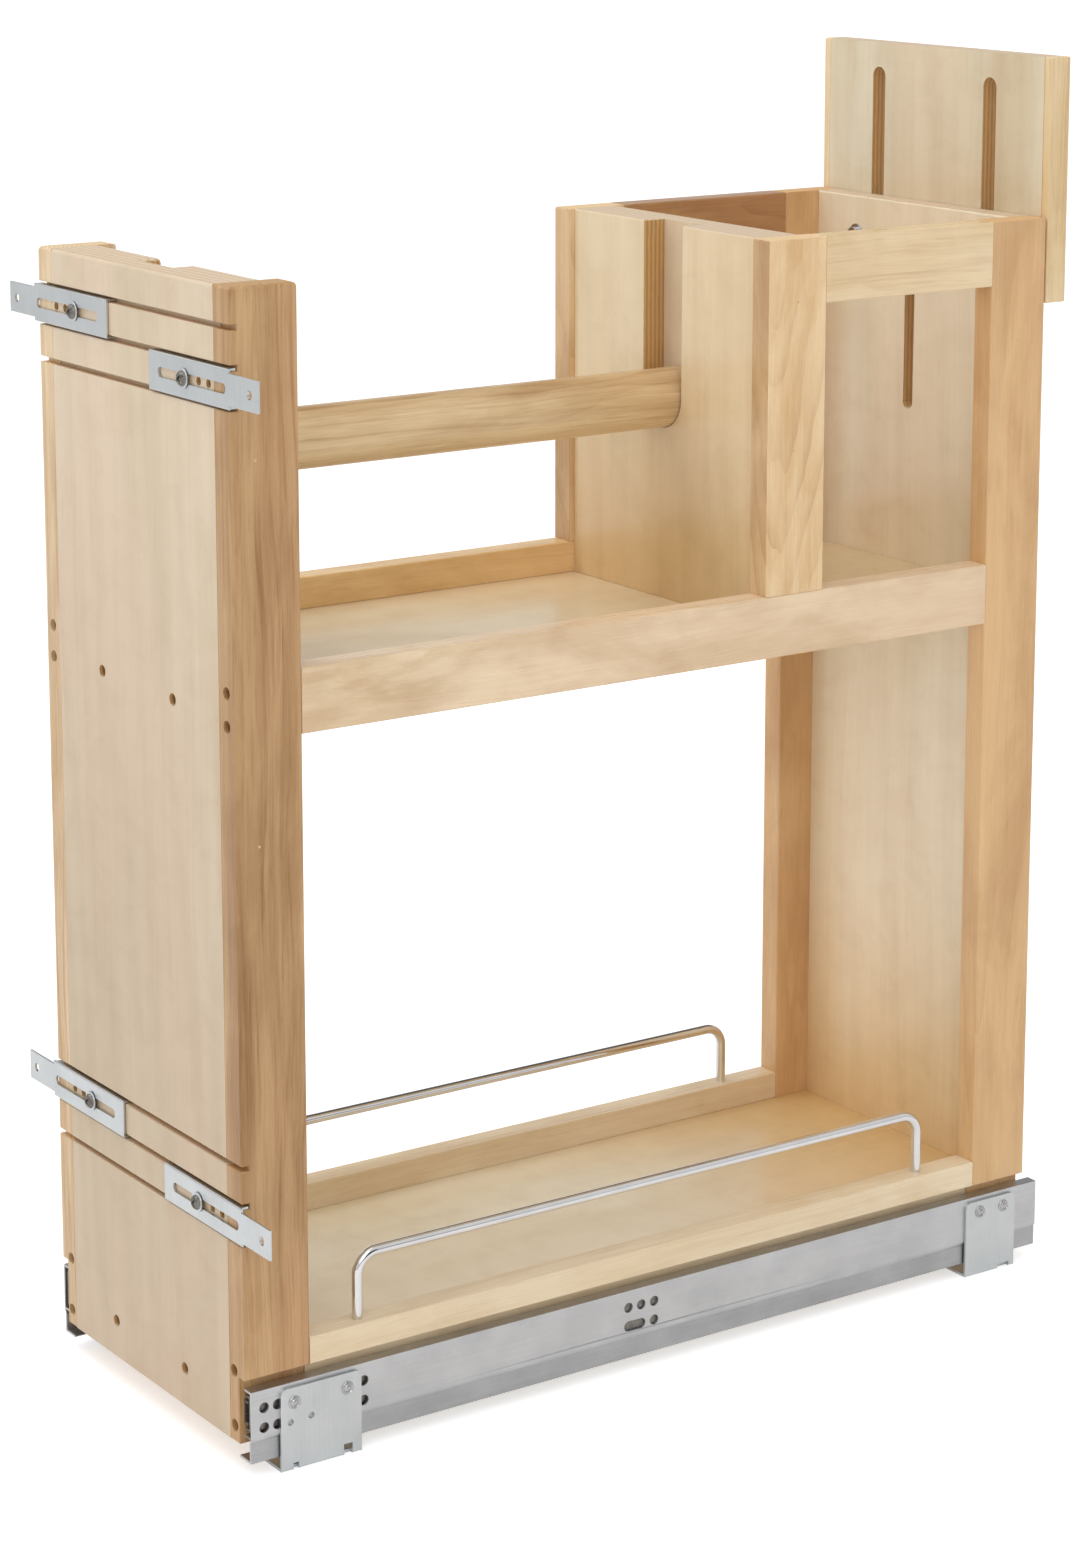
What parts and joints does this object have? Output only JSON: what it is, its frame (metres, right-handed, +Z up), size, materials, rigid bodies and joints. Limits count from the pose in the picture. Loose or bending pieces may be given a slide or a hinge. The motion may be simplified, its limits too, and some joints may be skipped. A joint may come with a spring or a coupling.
{
  "type": "pull-out pantry organiser",
  "caption": "Narrow wooden pull-out organiser for a base cabinet, with a base tray, middle shelf, top bin, lift-out towel rod, rising back panel and full-extension slides.",
  "frame": {"origin": "on the cabinet floor under the middle of the object's box", "axes": "+Z up, -Y towards the cabinet door and the direction in which the tray pulls out, +X to the right as seen from the door side"},
  "size_m": [0.277, 0.5796, 0.7425],
  "materials": {
    "stile_wood": "satin",
    "ply_wood": "satin",
    "rail_wood": "satin",
    "rod_wood": "satin",
    "wire_chrome": "polished",
    "zinc_plate": "satin",
    "galvanised_steel": "satin",
    "bright_steel": "bright",
    "dark_screw": "dull",
    "stop_rubber": "matte"
  },
  "bodies": {
    "cabinet_side": {"slide_outer_left": "galvanised_steel", "slide_outer_right": "galvanised_steel", "slide_end_stops": "stop_rubber", "cabinet_bracket_front_left": "zinc_plate", "cabinet_bracket_front_right": "zinc_plate", "cabinet_bracket_rear_left": "zinc_plate", "cabinet_bracket_rear_right": "zinc_plate", "bracket_rivets": "bright_steel"},
    "middle_members": {"slide_middle_left": "galvanised_steel", "slide_middle_right": "galvanised_steel"},
    "outer_cages": {"outer_ball_cages": "zinc_plate", "outer_balls": "bright_steel"},
    "inner_cages": {"inner_ball_cages": "zinc_plate", "inner_balls": "bright_steel"},
    "tray": {"front_stile_left": "stile_wood", "front_stile_right": "stile_wood", "front_skin_ply": "ply_wood", "front_slotted_ply": "ply_wood", "divider_stile_left": "stile_wood", "divider_stile_right": "stile_wood", "divider_slotted_ply": "ply_wood", "divider_back_ply": "ply_wood", "rear_stile_left": "stile_wood", "rear_stile_right": "stile_wood", "rear_ply": "ply_wood", "mid_rail_left": "rail_wood", "mid_rail_right": "rail_wood", "mid_shelf_ply": "ply_wood", "base_rail_left": "rail_wood", "base_rail_right": "rail_wood", "base_floor_ply": "ply_wood", "floor_cleats": "rail_wood", "bin_rail_left": "rail_wood", "bin_rail_right": "rail_wood", "wire_guard_left": "wire_chrome", "wire_guard_right": "wire_chrome", "front_screws": "dark_screw", "rear_screws": "dark_screw", "riser_bolts": "bright_steel", "riser_nuts": "bright_steel", "door_bracket_screws": "bright_steel", "door_bracket_washers": "zinc_plate", "slide_inner_left": "galvanised_steel", "slide_inner_right": "galvanised_steel", "slide_screws": "dark_screw"},
    "rod": {"towel_rod": "rod_wood"},
    "riser": {"riser_ply": "ply_wood", "riser_edge_left": "stile_wood", "riser_edge_right": "stile_wood"},
    "upper_left_bracket": {"door_bracket_upper_left": "zinc_plate"},
    "upper_right_bracket": {"door_bracket_upper_right": "zinc_plate"},
    "lower_left_bracket": {"door_bracket_lower_left": "zinc_plate"},
    "lower_right_bracket": {"door_bracket_lower_right": "zinc_plate"}
  },
  "joints": [
    {"name": "tray_slide", "type": "slide", "parent": "cabinet_side", "child": "tray", "axis": [0, -1, 0], "range_m": [0, 0.54]},
    {"name": "middle_member_slide", "type": "slide", "parent": "cabinet_side", "child": "middle_members", "axis": [0, -1, 0], "range_m": [0, 0.27]},
    {"name": "outer_cage_slide", "type": "slide", "parent": "cabinet_side", "child": "outer_cages", "axis": [0, -1, 0], "range_m": [0, 0.135]},
    {"name": "inner_cage_slide", "type": "slide", "parent": "cabinet_side", "child": "inner_cages", "axis": [0, -1, 0], "range_m": [0, 0.405]},
    {"name": "rod_lift", "type": "slide", "parent": "tray", "child": "rod", "axis": [0, 0, 1], "range_m": [0, 0.125]},
    {"name": "riser_slide", "type": "slide", "parent": "tray", "child": "riser", "axis": [0, 0, 1], "range_m": [-0.098, 0.006]},
    {"name": "upper_left_bracket_slide", "type": "slide", "parent": "tray", "child": "upper_left_bracket", "axis": [-1, 0, 0], "range_m": [-0.022, 0.025]},
    {"name": "lower_left_bracket_slide", "type": "slide", "parent": "tray", "child": "lower_left_bracket", "axis": [-1, 0, 0], "range_m": [-0.022, 0.025]},
    {"name": "upper_right_bracket_slide", "type": "slide", "parent": "tray", "child": "upper_right_bracket", "axis": [1, 0, 0], "range_m": [-0.022, 0.025]},
    {"name": "lower_right_bracket_slide", "type": "slide", "parent": "tray", "child": "lower_right_bracket", "axis": [1, 0, 0], "range_m": [-0.022, 0.025]}
  ],
  "couplings": [
    {"joint": "middle_member_slide", "follows": "tray_slide", "ratio": 0.5},
    {"joint": "outer_cage_slide", "follows": "tray_slide", "ratio": 0.25},
    {"joint": "inner_cage_slide", "follows": "tray_slide", "ratio": 0.75}
  ]
}
